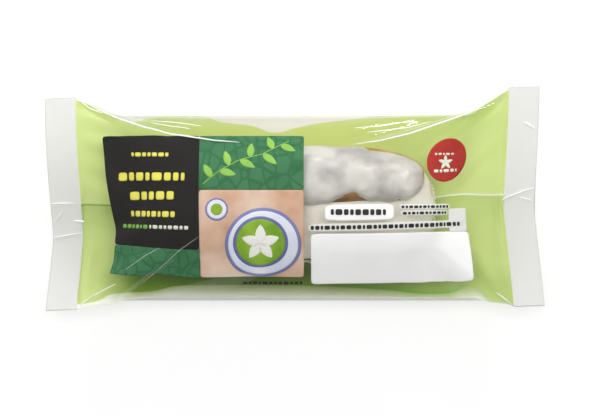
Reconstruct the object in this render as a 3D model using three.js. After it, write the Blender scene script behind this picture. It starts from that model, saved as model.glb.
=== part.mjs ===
// A wrapped eclair: one closed solid with the outer form of its pillow-shaped film pack.
//
// The film is a flat tube, pressed into a seal at each end. Between the seals it swells round an
// eclair on its tray, and lies on a flat base. Millimetres, +Z up. X runs along the pack, +Y is
// the far long side, and the origin is the middle of the footprint, on the table.
import * as THREE from 'three';

// The film as a flat tube, before it was filled.
const FILM = { length: 200, width: 88, seal: 12, thickness: 0.8 };

// The middle of the filled pack: its width and height, the height at which it is widest, and the
// half width of the flat that it lies on.
const BODY = { width: 72.4, height: 32, widest: 13.3, base: 23 };

// Distances in from the seal, over which the pack narrows, its top climbs, and its underside
// comes down to the table. The powers say how round each of the three curves is.
const TAPER = { width: 17, top: 46, under: 28 };
const ROUND = { width: 1.3, top: 1.8, under: 1.5, crown: 0.92 };

// Each end's seal. side: which way it lies along X. reach: where the seal starts, at its corners.
// bow: how far its middle is drawn in, and bowAt where that is, as a share of the half width.
// shift and half: its middle in Y, and half its width. wave: how far it rises and dips in Z.
const LEFT_END = { side: -1, reach: 88, bow: 3.7, bowAt: -0.3, shift: 1.1, half: 42.5, wave: 4 };
const RIGHT_END = { side: 1, reach: 87.4, bow: 3.3, bowAt: -0.1, shift: 3.8, half: 44, wave: 1.2 };

// A sharp fold runs from each corner of a seal on to the top of the pack. It lies inner from the
// middle line as far as fadeFrom along the pack, then swings out to the corner. Its crest rises
// over grow, runs out over end before the seal, and spread is how much of it the next column has.
const FOLD = { inner: 25, fadeFrom: 20, power: 1.6, height: 1.1, spread: 0.3, grow: 25, end: 8 };

// The lengthways seam of the tube is a flap, folded flat against the underside. beside is the
// flat underside that is left on each side of it.
const FLAP = { near: -9, far: 3, thickness: 0.5, beside: 2 };

// How finely the surface is divided, along the pack and round its section. Towards the seal the
// taper's steps get closer by the power crowd.
const STEPS = { seal: 2, taper: 16, middle: 12, crowd: 1.2 };
const ROUND_STEPS = { crown: 6, shoulder: 5, haunch: 6, base: 3, flap: 2 };

const smooth = (t) => {
  const c = THREE.MathUtils.clamp(t, 0, 1);
  return c * c * (3 - 2 * c);
};

// How far the seal's start is drawn in at a place across it, from -1 to 1.
function drawnIn(end, across) {
  const t = (across - end.bowAt) / (1 + Math.abs(end.bowAt));
  return end.bow * Math.cos((Math.PI / 2) * t) ** 2;
}

// A station is one cross-section. along is its distance from the pack's middle, measured on the
// film, and inside its distance in from the seal, which is negative on the seal itself.
function station(end, along) {
  const inside = FILM.length / 2 - FILM.seal - along;
  const open = Math.max(inside, 0);
  const flatness = (1 - Math.min(open / TAPER.width, 1)) ** ROUND.width;
  const rise = 1 - (1 - Math.min(open / TAPER.top, 1)) ** ROUND.top;
  const fall = 1 - (1 - Math.min(open / TAPER.under, 1)) ** ROUND.under;
  return {
    end,
    along,
    inside,
    half: THREE.MathUtils.lerp(BODY.width / 2, end.half, flatness),
    shift: end.shift * (1 - smooth(open / (2 * TAPER.width))),
    top: (BODY.height - BODY.widest) * rise + FILM.thickness / 2,
    under: (BODY.widest - FLAP.thickness) * fall + FILM.thickness / 2,
    base: BODY.base * smooth(open / TAPER.under),
    wave: end.wave * (1 - smooth(open / TAPER.under)),
  };
}

// The fold's distance from the pack's middle line.
function foldAt(s) {
  const t = Math.max(s.along - FOLD.fadeFrom, 0) / (FILM.length / 2 - FILM.seal - FOLD.fadeFrom);
  const y = FOLD.inner + (s.half - FOLD.inner) * t ** FOLD.power;
  return Math.min(y, s.half - FILM.thickness);
}

// A point of the section, from its place across the pack and its height over the widest line.
function place(s, y, height) {
  const across = THREE.MathUtils.clamp(y / s.half, -1, 1);
  const start = s.end.reach - drawnIn(s.end, across);
  const x = s.inside > 0
    ? start * (s.along / (FILM.length / 2 - FILM.seal))
    : start - s.inside;
  const z = BODY.widest + height + s.wave * Math.sin(Math.PI * across);
  return new THREE.Vector3(s.end.side * x, y + s.shift, z);
}

// The upper half of the section, from +Y over the crown to -Y. One column of vertices follows
// each fold, so that its crest stays sharp.
function upperRow(s) {
  const fold = Math.asin(foldAt(s) / s.half);
  const fading = smooth((s.along - FOLD.fadeFrom) / FOLD.grow);
  const crease = FOLD.height * fading * smooth(s.inside / FOLD.end);
  const { shoulder, crown } = ROUND_STEPS;
  const angles = [];
  for (let i = 0; i <= shoulder; i++) {
    angles.push(THREE.MathUtils.lerp(Math.PI / 2, fold, i / shoulder));
  }
  for (let i = 1; i <= crown; i++) angles.push(fold * (1 - i / crown));
  const half = angles.map((angle, i) => {
    const crest = crease * FOLD.spread ** Math.abs(i - shoulder);
    return [s.half * Math.sin(angle), s.top * Math.cos(angle) ** ROUND.crown + crest];
  });
  half[0][1] = 0;
  const other = half.slice(0, -1).reverse().map(([y, height]) => [-y, height]);
  return [...half, ...other].map(([y, height]) => place(s, y, height));
}

// The lower half, from -Y under the base to +Y, with the seam's flap standing out of it.
function lowerRow(s) {
  const { near, far } = FLAP;
  const base = Math.max(s.base, FLAP.beside - near);
  const haunch = [];
  for (let i = 1; i < ROUND_STEPS.haunch; i++) {
    const angle = (i / ROUND_STEPS.haunch) * (Math.PI / 2);
    haunch.push([base + (s.half - base) * Math.cos(angle), -s.under * Math.sin(angle)]);
  }
  const flat = (from, to, count, depth) => {
    const row = [];
    for (let i = 0; i <= count; i++) row.push([THREE.MathUtils.lerp(from, to, i / count), -depth]);
    return row;
  };
  const points = [
    ...haunch.map(([y, height]) => [-y, height]),
    ...flat(-base, near, ROUND_STEPS.base, s.under),
    ...flat(near, far, ROUND_STEPS.flap, s.under + FLAP.thickness),
    ...flat(far, base, ROUND_STEPS.base, s.under),
    ...haunch.reverse(),
  ];
  return points.map(([y, height]) => place(s, y, height));
}

// Where the stations lie on one half of the pack, from the open end of the seal to the middle.
function stationsOf(end) {
  const start = FILM.length / 2 - FILM.seal;
  const { seal, taper, middle, crowd } = STEPS;
  const along = [];
  for (let i = 0; i < seal; i++) along.push(FILM.length / 2 - (FILM.seal * i) / seal);
  for (let i = 0; i < taper; i++) along.push(start - TAPER.top * (i / taper) ** crowd);
  for (let i = 0; i < middle; i++) along.push((start - TAPER.top) * (1 - i / middle));
  return along.map((distance) => station(end, distance));
}

// Joins the rings into one closed surface. Each ring has its upper row first, so an end cap is a
// strip between the two rows of the first or the last ring.
function skin(rings, upperCount) {
  const size = rings[0].length;
  const faces = [];
  for (let r = 0; r < rings.length - 1; r++) {
    for (let i = 0; i < size; i++) {
      const j = (i + 1) % size;
      const [a, b, c, d] = [r * size + i, r * size + j, (r + 1) * size + j, (r + 1) * size + i];
      faces.push(a, b, c, a, c, d);
    }
  }
  for (const ring of [0, rings.length - 1]) {
    const strip = capStrip(rings[ring], upperCount).map((i) => ring * size + i);
    faces.push(...(ring === 0 ? strip : strip.reverse()));
  }
  const geometry = new THREE.BufferGeometry();
  geometry.setAttribute('position', new THREE.Float32BufferAttribute(
    rings.flat().flatMap((point) => [point.x, point.y, point.z]), 3));
  geometry.setIndex(faces);
  return geometry;
}

// Triangles between a ring's upper and lower rows. Both run in step from +Y to -Y, and the row
// whose next point comes first takes the next step.
function capStrip(ring, upperCount) {
  const last = upperCount - 1;
  const strip = [];
  let upper = 1;
  let lower = ring.length - 1;
  strip.push(0, lower, upper);
  while (upper < last || lower > last + 1) {
    const takeUpper = lower === last + 1 || (upper < last && ring[upper + 1].y > ring[lower - 1].y);
    const next = takeUpper ? upper + 1 : lower - 1;
    strip.push(upper, lower, next);
    if (takeUpper) upper = next;
    else lower = next;
  }
  return strip;
}

function pack() {
  const left = stationsOf(LEFT_END);
  const right = stationsOf(RIGHT_END).reverse();
  const middle = station(RIGHT_END, 0);
  const stations = [...left, middle, ...right];
  const rings = stations.map((s) => [...upperRow(s), ...lowerRow(s)]);
  const geometry = skin(rings, upperRow(middle).length);
  geometry.computeVertexNormals();
  const film = new THREE.MeshStandardMaterial({ color: 0xc5da85, roughness: 0.25, metalness: 0 });
  const mesh = new THREE.Mesh(geometry, film);
  mesh.name = 'pack';
  return mesh;
}

// Sets the object down with the middle of its footprint at the origin.
function setDown(mesh) {
  mesh.geometry.computeBoundingBox();
  const box = mesh.geometry.boundingBox;
  const middle = box.getCenter(new THREE.Vector3());
  mesh.position.set(-middle.x, -middle.y, -box.min.z);
  return mesh;
}

const eclair = new THREE.Group();
eclair.name = 'wrapped_eclair';
eclair.add(setDown(pack()));

export default eclair;
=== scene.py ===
# %% [markdown]
# # An iced eclair in its film pack
# A chilled eclair is sold in a flow wrap: a tube of thin clear film, pressed shut at both ends,
# with a little gas in it. This lesson makes the eclair on its tray, lets Blender's Cloth blow up
# the film round them, and then prints on the film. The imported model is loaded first, because
# its box says how large the pack is and where it lies.

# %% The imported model
import math

import bmesh
import bpy
import numpy as np
from mathutils import Matrix, Vector, noise
from mathutils.bvhtree import BVHTree


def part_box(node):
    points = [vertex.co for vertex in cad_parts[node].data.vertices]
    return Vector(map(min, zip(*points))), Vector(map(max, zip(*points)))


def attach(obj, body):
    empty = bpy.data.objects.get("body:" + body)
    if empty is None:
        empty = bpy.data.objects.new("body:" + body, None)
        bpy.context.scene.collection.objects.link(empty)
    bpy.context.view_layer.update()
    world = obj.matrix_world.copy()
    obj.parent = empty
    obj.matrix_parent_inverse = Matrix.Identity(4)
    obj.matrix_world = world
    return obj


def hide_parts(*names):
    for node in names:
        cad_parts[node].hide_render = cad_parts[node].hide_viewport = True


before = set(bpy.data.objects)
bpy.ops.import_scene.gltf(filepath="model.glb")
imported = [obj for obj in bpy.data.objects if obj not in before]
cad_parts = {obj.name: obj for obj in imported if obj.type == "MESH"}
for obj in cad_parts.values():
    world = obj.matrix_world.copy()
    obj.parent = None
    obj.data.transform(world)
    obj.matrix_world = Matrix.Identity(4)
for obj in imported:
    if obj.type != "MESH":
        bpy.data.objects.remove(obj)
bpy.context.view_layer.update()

MM = 0.001
pack_low, pack_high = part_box("pack")
print("pack, mm:", [round((high - low) / MM, 1) for low, high in zip(pack_low, pack_high)])

# %% [markdown]
# ## Camera, table and light
# The photograph looks almost straight down, from a little on the near side. A long lens keeps
# both seals the same size. The camera comes first, so that each later step can be rendered.

# %% The camera
PICTURE_WIDTH = 240          # millimetres of table from the left to the right of the picture
CAMERA_DISTANCE = 900
CAMERA_ELEVATION = 85        # degrees above the table
LOOKED_AT = (2.9, -3.8, 13.7)
SENSOR = 36

lens = bpy.data.cameras.new("camera")
lens.sensor_width = SENSOR
lens.lens = SENSOR * CAMERA_DISTANCE / PICTURE_WIDTH
lens.clip_start = 0.05
camera = bpy.data.objects.new("camera", lens)
tilt = math.radians(CAMERA_ELEVATION)
backward = Vector((0, -math.cos(tilt), math.sin(tilt)))
camera.location = (Vector(LOOKED_AT) + backward * CAMERA_DISTANCE) * MM
camera.rotation_euler = backward.to_track_quat("Z", "Y").to_euler()
scene = bpy.context.scene
scene.collection.objects.link(camera)
scene.camera = camera
print("lens, mm:", lens.lens)

# %% [markdown]
# ## Small helpers
# Colours are written as the hex values of a paint program, and Blender wants linear light. Each
# material is a tree of nodes, so one helper adds a node with its settings and links. Another
# turns a finished bmesh into an object.


# %% Colours, nodes and objects
def linear(code):
    """An sRGB hex colour as linear red, green, blue and alpha."""
    channels = [int(code[i:i + 2], 16) / 255 for i in (1, 3, 5)]
    return [c / 12.92 if c <= 0.04045 else ((c + 0.055) / 1.055) ** 2.4 for c in channels] + [1]


def add(tree, kind, inputs=None, stops=(), **settings):
    """Adds a node. inputs gives its sockets values, or other nodes' outputs to link. stops gives
    a colour ramp its two colours and their places."""
    made = tree.nodes.new(kind)
    for name, value in settings.items():
        setattr(made, name, value)
    for socket, value in (inputs or {}).items():
        if isinstance(value, bpy.types.NodeSocket):
            tree.links.new(value, made.inputs[socket])
        else:
            made.inputs[socket].default_value = value
    for i, (code, position) in enumerate(stops):
        made.color_ramp.elements[i].color = linear(code)
        made.color_ramp.elements[i].position = position
    return made


def new_material(name):
    """A material with only an output node. Returns it with its tree and the output."""
    material = bpy.data.materials.new(name)
    material.use_nodes = True
    material.node_tree.nodes.clear()
    output = add(material.node_tree, "ShaderNodeOutputMaterial")
    return material, material.node_tree, output


def finished(name, mesh_in_work, material):
    """Turns a bmesh into an object of the scene with one material and smooth shading."""
    mesh = bpy.data.meshes.new(name)
    mesh_in_work.to_mesh(mesh)
    mesh_in_work.free()
    mesh.materials.append(material)
    mesh.polygons.foreach_set("use_smooth", [True] * len(mesh.polygons))
    piece = bpy.data.objects.new(name, mesh)
    scene.collection.objects.link(piece)
    print(name, len(mesh.polygons), "faces")
    return piece


def smooth_step(t):
    """Goes smoothly from 0 to 1 while t does, and stays there."""
    t = min(max(t, 0), 1)
    return t * t * (3 - 2 * t)


# %% The table, the sky and the lamps
# The table glows a little, so that it comes out as white as a studio sweep. The glow stops under
# the near half of the pack, which is a painted shadow there, so that the film over it comes out dark.
TABLE_SIZE = 4000
TABLE_GLOW = 0.64
PAINTED_SHADOW_UNDER_PACK = {"x": (0.062, 0.082), "y_near": (-0.0405, -0.039), "y_far": (-0.018, 0.002)}    # metres
table_white, tree, output = new_material("white_table")
place = add(tree, "ShaderNodeSeparateXYZ", {0: add(tree, "ShaderNodeTexCoord").outputs["Object"]})
beside = add(tree, "ShaderNodeMath", {0: place.outputs[0]}, operation="ABSOLUTE").outputs[0]
glows = 0.0
for across, (start, end), at_start in ((beside, PAINTED_SHADOW_UNDER_PACK["x"], 0.0), (place.outputs[1], PAINTED_SHADOW_UNDER_PACK["y_far"], 0.0),
        (place.outputs[1], PAINTED_SHADOW_UNDER_PACK["y_near"], 1.0)):
    lit = add(tree, "ShaderNodeMapRange", {"Value": across, "From Min": start, "From Max": end,
        "To Min": at_start, "To Max": 1.0 - at_start})
    glows = add(tree, "ShaderNodeMath", {0: lit.outputs[0], 1: glows}, operation="MAXIMUM").outputs[0]
glow = add(tree, "ShaderNodeMath", {0: glows, 1: TABLE_GLOW}, operation="MULTIPLY")
surface = add(tree, "ShaderNodeBsdfPrincipled", {"Base Color": linear("#a4a4a4"), "Roughness": 0.9,
    "Emission Color": linear("#ffffff"), "Emission Strength": glow.outputs[0]})
tree.links.new(surface.outputs[0], output.inputs["Surface"])
work = bmesh.new()
bmesh.ops.create_grid(work, x_segments=1, y_segments=1, size=TABLE_SIZE / 2 * MM)
finished("table", work, table_white)

SKY = {"middle": 0.53, "far_side": 0.18}
world = bpy.data.worlds.new("studio")
world.use_nodes = True
tree = world.node_tree
direction = add(tree, "ShaderNodeSeparateXYZ", {0: add(tree, "ShaderNodeTexCoord").outputs["Generated"]})
glow = add(tree, "ShaderNodeMath", {0: direction.outputs[1], 1: SKY["far_side"], 2: SKY["middle"]},
    operation="MULTIPLY_ADD")
tree.links.new(glow.outputs[0], tree.nodes["Background"].inputs["Strength"])
tree.nodes["Background"].inputs["Color"].default_value = linear("#ffffff")
scene.world = world


def lamp(name, place, size, power, seen_in_gloss):
    """A soft box that looks at the pack."""
    light = bpy.data.lights.new(name, "AREA")
    light.shape = "RECTANGLE"
    light.size, light.size_y = (side * MM for side in size)
    light.energy = power
    holder = bpy.data.objects.new(name, light)
    holder.location = Vector(place) * MM
    holder.rotation_euler = Vector(place).to_track_quat("Z", "Y").to_euler()
    holder.visible_glossy = seen_in_gloss
    scene.collection.objects.link(holder)


lamp("ceiling_box", (0, 120, 950), (900, 400), 4.6, False)
for place in (-290, 330):
    lamp("back_strip", (place, 740, 290), (380, 50), 1.9, True)
scene.view_settings.view_transform = "Standard"
scene.cycles.use_denoising = True
scene.cycles.max_bounces = 12
scene.cycles.transparent_max_bounces = 32

# %% [markdown]
# ## The choux bun
# An eclair is piped as one long finger of choux, baked, and slit along one side. The lower part
# stays in the tray. The upper part is a lid that leans back on the cream. Both are long rounded
# loaves, so one helper turns a ball into a loaf: it pushes each vertex of a sphere out on to a
# superellipsoid, which is flatter on its sides than a ball and blunter at its ends.

# %% A loaf
BODY_MIDDLE = (0.3, -3.2)      # the middle of the pack's body, beside the middle of its box


def loaf(sizes, around=72, along=96):
    """A closed rounded loaf along X, its middle at the origin, in millimetres. The higher blunt
    is, the blunter are its ends, and the higher square is, the squarer is its section."""
    blunt, square = sizes["blunt"], sizes["square"]
    body = bmesh.new()
    bmesh.ops.create_uvsphere(body, u_segments=around, v_segments=along, radius=1)
    bmesh.ops.rotate(body, verts=body.verts, matrix=Matrix.Rotation(math.pi / 2, 3, "Y"))
    for vert in body.verts:
        x, y, z = vert.co
        ring = abs(y) ** square + abs(z) ** square
        reach = (abs(x) ** blunt + ring ** (blunt / square)) ** (1 / blunt)
        vert.co = Vector((x * sizes["length"], y * sizes["width"], z * sizes["height"])) / (2 * reach)
    return body


def roughen(body, size, amount, seed):
    """Pushes each vertex in or out along its normal by smooth noise."""
    body.normal_update()
    shift = Vector((seed * 17.0, seed * 5.0, seed * 29.0))
    for vert in body.verts:
        vert.co += vert.normal * amount * noise.noise(vert.co / size + shift)


def put(body, turn, place):
    """Turns a body about X, by degrees, moves it, and makes its millimetres metres."""
    bmesh.ops.rotate(body, verts=body.verts, matrix=Matrix.Rotation(math.radians(turn), 3, "X"))
    bmesh.ops.translate(body, verts=body.verts, vec=place)
    bmesh.ops.scale(body, verts=body.verts, vec=(MM, MM, MM))
    bmesh.ops.recalc_face_normals(body, faces=body.faces)


# %% Baked choux
# Two browns in uneven patches make it look baked. The crust is also darker towards the near side.
CRUST = [("#6a4312", 0.35), ("#c3924a", 0.68)]
PALER = {"From Min": 0.002, "From Max": 0.016, "To Min": -0.14, "To Max": 0.12}     # metres across, to how much
choux, tree, output = new_material("baked_choux_pastry")
spot = add(tree, "ShaderNodeTexCoord").outputs["Object"]
patches = add(tree, "ShaderNodeTexNoise", {"Vector": spot, "Scale": 90, "Detail": 6, "Roughness": 0.6})
across = add(tree, "ShaderNodeSeparateXYZ", {0: spot})
paler = add(tree, "ShaderNodeMapRange", {"Value": across.outputs[1], **PALER})
browned = add(tree, "ShaderNodeMath", {0: patches.outputs[0], 1: paler.outputs[0]}, operation="ADD")
crust = add(tree, "ShaderNodeValToRGB", {"Fac": browned.outputs[0]}, CRUST)
grain = add(tree, "ShaderNodeTexNoise", {"Vector": spot, "Scale": 700, "Detail": 5})
relief = add(tree, "ShaderNodeBump", {"Height": grain.outputs[0], "Strength": 0.5, "Distance": 0.0004})
surface = add(tree, "ShaderNodeBsdfPrincipled", {"Base Color": crust.outputs[0], "Roughness": 0.5,
    "Normal": relief.outputs[0]})
tree.links.new(surface.outputs[0], output.inputs["Surface"])

BASE = {"length": 110, "width": 40.5, "height": 17, "blunt": 3.6, "square": 2.6}
BASE_MIDDLE = (0.3, -2.6, 9.9)
body = loaf(BASE)
roughen(body, 9, 0.7, 1)
put(body, 0, BASE_MIDDLE)
base = finished("choux_base", body, choux)

LID = {"length": 105, "width": 25.5, "height": 12.5, "blunt": 2.5, "square": 2.2}
LID_LEAN = -32               # degrees: its front edge is up on the cream
LID_MIDDLE = (-0.2, 8.5, 20.8)
# How much wider the lid's right end is on each side, from where, and over how many millimetres.
SHOULDERS = {"far": (2.2, 22, 8), "near": (4, 34, 10)}


def lid_half(x, side):
    """Half the lid's width on one side. Its right end is blunter than its left one."""
    more, start, over = SHOULDERS[side]
    return LID["width"] / 2 + more * smooth_step((x - start) / over)


body = loaf(LID, 144, 192)
for vert in body.verts:
    vert.co.y *= lid_half(vert.co.x, "far" if vert.co.y > 0 else "near") / (LID["width"] / 2)
roughen(body, 9, 0.25, 2)
put(body, LID_LEAN, LID_MIDDLE)
lid = finished("choux_lid", body, choux)

# %% Whipped cream
# Two warm whites and light that scatters inside make it look soft and fatty.
cream_white, tree, output = new_material("whipped_cream")
spot = add(tree, "ShaderNodeTexCoord").outputs["Object"]
patches = add(tree, "ShaderNodeTexNoise", {"Vector": spot, "Scale": 60, "Detail": 3})
tint = add(tree, "ShaderNodeValToRGB", {"Fac": patches.outputs[0]}, [("#ece7d8", 0), ("#f8f5ea", 1)])
whipped = add(tree, "ShaderNodeTexNoise", {"Vector": spot, "Scale": 260, "Detail": 4})
relief = add(tree, "ShaderNodeBump", {"Height": whipped.outputs[0], "Strength": 0.5, "Distance": 0.0012})
surface = add(tree, "ShaderNodeBsdfPrincipled", {"Base Color": tint.outputs[0], "Roughness": 0.45,
    "Normal": relief.outputs[0], "Subsurface Weight": 0.3, "Subsurface Radius": (1, 0.8, 0.5),
    "Subsurface Scale": 0.002})
tree.links.new(surface.outputs[0], output.inputs["Surface"])

CREAM = {"length": 110.5, "width": 40.5, "height": 19, "blunt": 4.2, "square": 2.5}
CREAM_MIDDLE = (0.3, -4.2, 16.2)
body = loaf(CREAM, 120, 160)
roughen(body, 13, 1.3, 3)
roughen(body, 4.5, 0.5, 5)
put(body, 0, CREAM_MIDDLE)
cream = finished("whipped_cream", body, cream_white)

# %% [markdown]
# ## The icing
# White icing is dipped or spread on while soft. It runs down the front of the lid in rounded
# lobes and stops short of the far edge at the right end. A flat grid is wrapped over the lid:
# one direction runs along it, the other from the far edge over the crown to the front, where a
# short list of places gives the edge its lobes.

# %% The icing's sheet
ICING_EDGE = [               # along the lid, and degrees past the crown at which the icing ends
    (-54, 75), (-46, 90), (-39, 98), (-31, 80), (-22, 98), (-13, 94), (-5, 90), (3, 95), (8, 100),
    (14, 94), (18, 74), (24, 62), (28, 76), (31, 94), (38, 98), (42.3, 78), (45.5, 98), (50, 98), (54, 84)]
ICING = {"thick": 1.5, "tuck": 0.4, "inner": 1.2, "reach": 0.996}
FAR_EDGE = {"iced": 78, "bare": 46, "start": 23, "over": 9}     # degrees before the crown, and along the lid
LUMPS = [(0.9, 9, 40, 4.0), (0.35, 4, 20, 9.0)]     # height, size along, degrees round, and seed


def on_lid(x, turn, lift):
    """A point over the lid before it leans: x along it, turn degrees past the crown."""
    slim = (1 - min(abs(2 * x / LID["length"]), 1) ** LID["blunt"]) ** (1 / LID["blunt"])
    angle = math.radians(turn)
    across = -math.sin(angle) * (lid_half(x, "far" if turn < 0 else "near") * slim + lift)
    return Vector((x, across, math.cos(angle) * (LID["height"] / 2 * slim + lift)))


sheet = bmesh.new()
bmesh.ops.create_grid(sheet, x_segments=240, y_segments=80, size=1)
edge_places, edge_turns = zip(*ICING_EDGE)
for vert in sheet.verts:
    s, t = vert.co.x, vert.co.y
    x = s * LID["length"] / 2 * ICING["reach"]
    bare = smooth_step((x - FAR_EDGE["start"]) / FAR_EDGE["over"])
    far = -(FAR_EDGE["iced"] * (1 - bare) + FAR_EDGE["bare"] * bare)
    front = np.interp(x, edge_places, edge_turns)
    turn = far + (front - far) * (1 + t) / 2
    rim = (1 - abs(t) ** 6) ** 0.5 * (1 - abs(s) ** 20) ** 0.5
    lump = sum(height * noise.noise(Vector((x / along, turn / around, seed)))
        for height, along, around, seed in LUMPS)
    vert.co = on_lid(x, turn, (ICING["thick"] + lump + ICING["tuck"]) * rim - ICING["tuck"])
bmesh.ops.solidify(sheet, geom=sheet.faces[:], thickness=ICING["inner"])
put(sheet, LID_LEAN, LID_MIDDLE)

# Sugar icing is a little glossy and lets light in. Soft grey patches make it look uneven.
FONDANT = [("#a39e9a", 0.32), ("#cac7bf", 0.56)]
icing_white, tree, output = new_material("white_fondant_icing")
spot = add(tree, "ShaderNodeTexCoord").outputs["Object"]
patches = add(tree, "ShaderNodeTexNoise", {"Vector": spot, "Scale": 75, "Detail": 4})
tint = add(tree, "ShaderNodeValToRGB", {"Fac": patches.outputs[0]}, FONDANT)
surface = add(tree, "ShaderNodeBsdfPrincipled", {"Base Color": tint.outputs[0], "Roughness": 0.3,
    "Subsurface Weight": 0.2, "Subsurface Radius": (1, 0.9, 0.7), "Subsurface Scale": 0.0015})
tree.links.new(surface.outputs[0], output.inputs["Surface"])
icing = finished("white_icing", sheet, icing_white)

# %% [markdown]
# ## The tray
# The eclair sits in a thin tray of ivory plastic whose wall is pressed into fine pleats, which
# is what makes so thin a wall stiff. It starts as a circle with hundreds of sides, is pushed out
# to a rounded rectangle, and its rim is extruded upwards row by row.

# %% Pleated tray
TRAY = {"length": 115.5, "width": 45, "height": 11.5, "flare": 4, "wall": 0.35, "rim": 2, "square": 3.4}
PLEAT = 0.28                 # how far a pleat stands out
PLEATS = 104
TRAY_FOOT = (0.3, -4.2, 1.0)
# Pressed polystyrene is smooth and a little glossy, and its ivory is hardly uneven.
tray_ivory, tree, output = new_material("pressed_polystyrene_sheet")
spot = add(tree, "ShaderNodeTexCoord").outputs["Object"]
haze = add(tree, "ShaderNodeTexNoise", {"Vector": spot, "Scale": 40})
tint = add(tree, "ShaderNodeValToRGB", {"Fac": haze.outputs[0]}, [("#d8d2c0", 0), ("#e6e1d2", 1)])
surface = add(tree, "ShaderNodeBsdfPrincipled", {"Base Color": tint.outputs[0], "Roughness": 0.3})
tree.links.new(surface.outputs[0], output.inputs["Surface"])


def tray_point(turn, row):
    """A point of the wall: turn round it from 0 to 1, row from 0 at its foot to 1 at its rim, and
    beyond 1 out over the rim."""
    angle = turn * 2 * math.pi
    c, s = math.cos(angle), math.sin(angle)
    reach = (abs(c) ** TRAY["square"] + abs(s) ** TRAY["square"]) ** (-1 / TRAY["square"])
    pleat = PLEAT * min(2 * row, 1) * math.cos(angle * PLEATS)
    inset = TRAY["rim"] + TRAY["flare"] * (1 - min(row, 1)) ** 1.5 - pleat
    if row > 1:
        inset = TRAY["rim"] * (2 - row) - pleat
    z = TRAY["height"] * min(row, 1) + pleat * max(row - 1, 0)
    return Vector((c * reach * (TRAY["length"] / 2 - inset), s * reach * (TRAY["width"] / 2 - inset), z))


body = bmesh.new()
SIDES = PLEATS * 4
WALL_ROWS, RIM_ROWS = 6, 3
ring = bmesh.ops.create_circle(body, cap_ends=True, segments=SIDES, radius=1)["verts"]
turns = {vert: i / SIDES for i, vert in enumerate(ring)}
for vert, turn in turns.items():
    vert.co = tray_point(turn, 0)
ring_edges = [e for e in body.edges if e.is_boundary]
for row in range(1, WALL_ROWS + RIM_ROWS + 1):
    grown = bmesh.ops.extrude_edge_only(body, edges=ring_edges)["geom"]
    ring_edges = [e for e in grown if isinstance(e, bmesh.types.BMEdge) and e.is_boundary]
    lower = {vert.co.to_tuple(5): turn for vert, turn in turns.items()}
    turns = {v: lower[v.co.to_tuple(5)] for v in grown if isinstance(v, bmesh.types.BMVert)}
    for vert, turn in turns.items():
        vert.co = tray_point(turn, row / WALL_ROWS)
put(body, 0, TRAY_FOOT)
tray = finished("pleated_tray", body, tray_ivory)
wall = tray.modifiers.new("wall", "SOLIDIFY")
wall.thickness = TRAY["wall"] * MM
wall.offset = 0

# %% [markdown]
# ## The film
# A flow wrap starts as a flat web of film. The machine folds it into a tube, welds the tube
# lengthways, and presses both ends shut. Cloth does the same here. It starts from a round tube,
# and the vertices that are held move to where the photograph shows them: both seals, the line
# down each long side, and the flat underneath. The rest is left to the gas pressure and to the
# contents, so the creases come where a real film has to make them. The film can't stretch, and
# that is why its springs are stiff.

# %% The web's sizes
WEB = {"length": 202, "girth": 176, "seal": 12}
STEP = 2                     # millimetres between the vertices of the web
SEAL_START = WEB["length"] / 2 - WEB["seal"]
SIDE = WEB["girth"] / 4      # from the middle of the front to the line down each side
WIDEST = 13.7                # the height of those lines over the table
BODY_HALF = {"far": 35.9, "near": 36.3}
UNDERSIDE = 0.5
SEAL_RISE = 2.5
# reach: where each seal starts, at its corners, and slant: how much further out its far one is.
# bow: how far its middle is drawn in, and at where that is, as a share of the half width.
# shift: its middle in Y, and skew: how much nearer that is at the open edge. half: half its
# width. wave: how far it rises and dips. far and near: over how many millimetres the pack gets
# narrower on that side, and the power of that curve.
LEFT = {"side": -1, "reach": 87.0, "slant": 0.6, "bow": 2.8, "at": -0.3, "shift": 1.1, "skew": 0.5,
    "half": 42.5, "wave": 4.0, "far": (17, 1.1), "near": (30, 1.1)}
RIGHT = {"side": 1, "reach": 87.2, "slant": -0.6, "bow": 3.4, "at": -0.1, "shift": 3.8, "skew": -0.3,
    "half": 44.0, "wave": 1.2, "far": (17, 1.05), "near": (15, 0.7)}
LIFTING = 28                 # millimetres in from a seal, over which its side lines climb
HELD_SIDE = 72               # how far from the middle the side lines are held
HELD_UNDER = (46, 18)        # half the size of the flat that the pack lies on
LAYER_GAP = 0.15             # between the two layers of a seal
print("flat web, mm:", WEB["length"], "by", WEB["girth"])


def seal_place(u, v):
    """Where a point of a seal goes. u runs along the web and v round it, from the front."""
    end = LEFT if u < 0 else RIGHT
    front = abs(v) <= SIDE
    across = (v if front else math.copysign(2 * SIDE - abs(v), v)) / SIDE
    over = across - end["at"]
    share = over / (1 - end["at"]) if over > 0 else -over / (1 + end["at"])
    drawn_in = end["bow"] * (1 - share) ** 1.2
    out = abs(u) - SEAL_START
    x = end["side"] * (end["reach"] + end["slant"] * across - drawn_in + out)
    middle = end["shift"] - end["skew"] * out / WEB["seal"]
    z = WIDEST + SEAL_RISE + end["wave"] * math.sin(math.pi * across)
    layer = LAYER_GAP / 2 * (1 - abs(across)) * (1 if front else -1)
    return x, middle + across * end["half"], z + layer


def side_place(u, v):
    """Where a point of the line down a side goes."""
    end = LEFT if u < 0 else RIGHT
    side = "far" if v > 0 else "near"
    inside = SEAL_START - abs(u)
    narrowing, power = end[side]
    flare = (1 - min(inside / narrowing, 1)) ** power
    body = math.copysign(BODY_HALF[side], v)
    corner = end["shift"] + math.copysign(end["half"], v)
    rise = SEAL_RISE * (1 - smooth_step(inside / LIFTING))
    return u, body + (corner - body) * flare, WIDEST + rise


def under_place(u, v):
    """Where a point of the flat underneath goes."""
    return u, math.copysign(2 * SIDE - abs(v), v), UNDERSIDE


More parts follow.
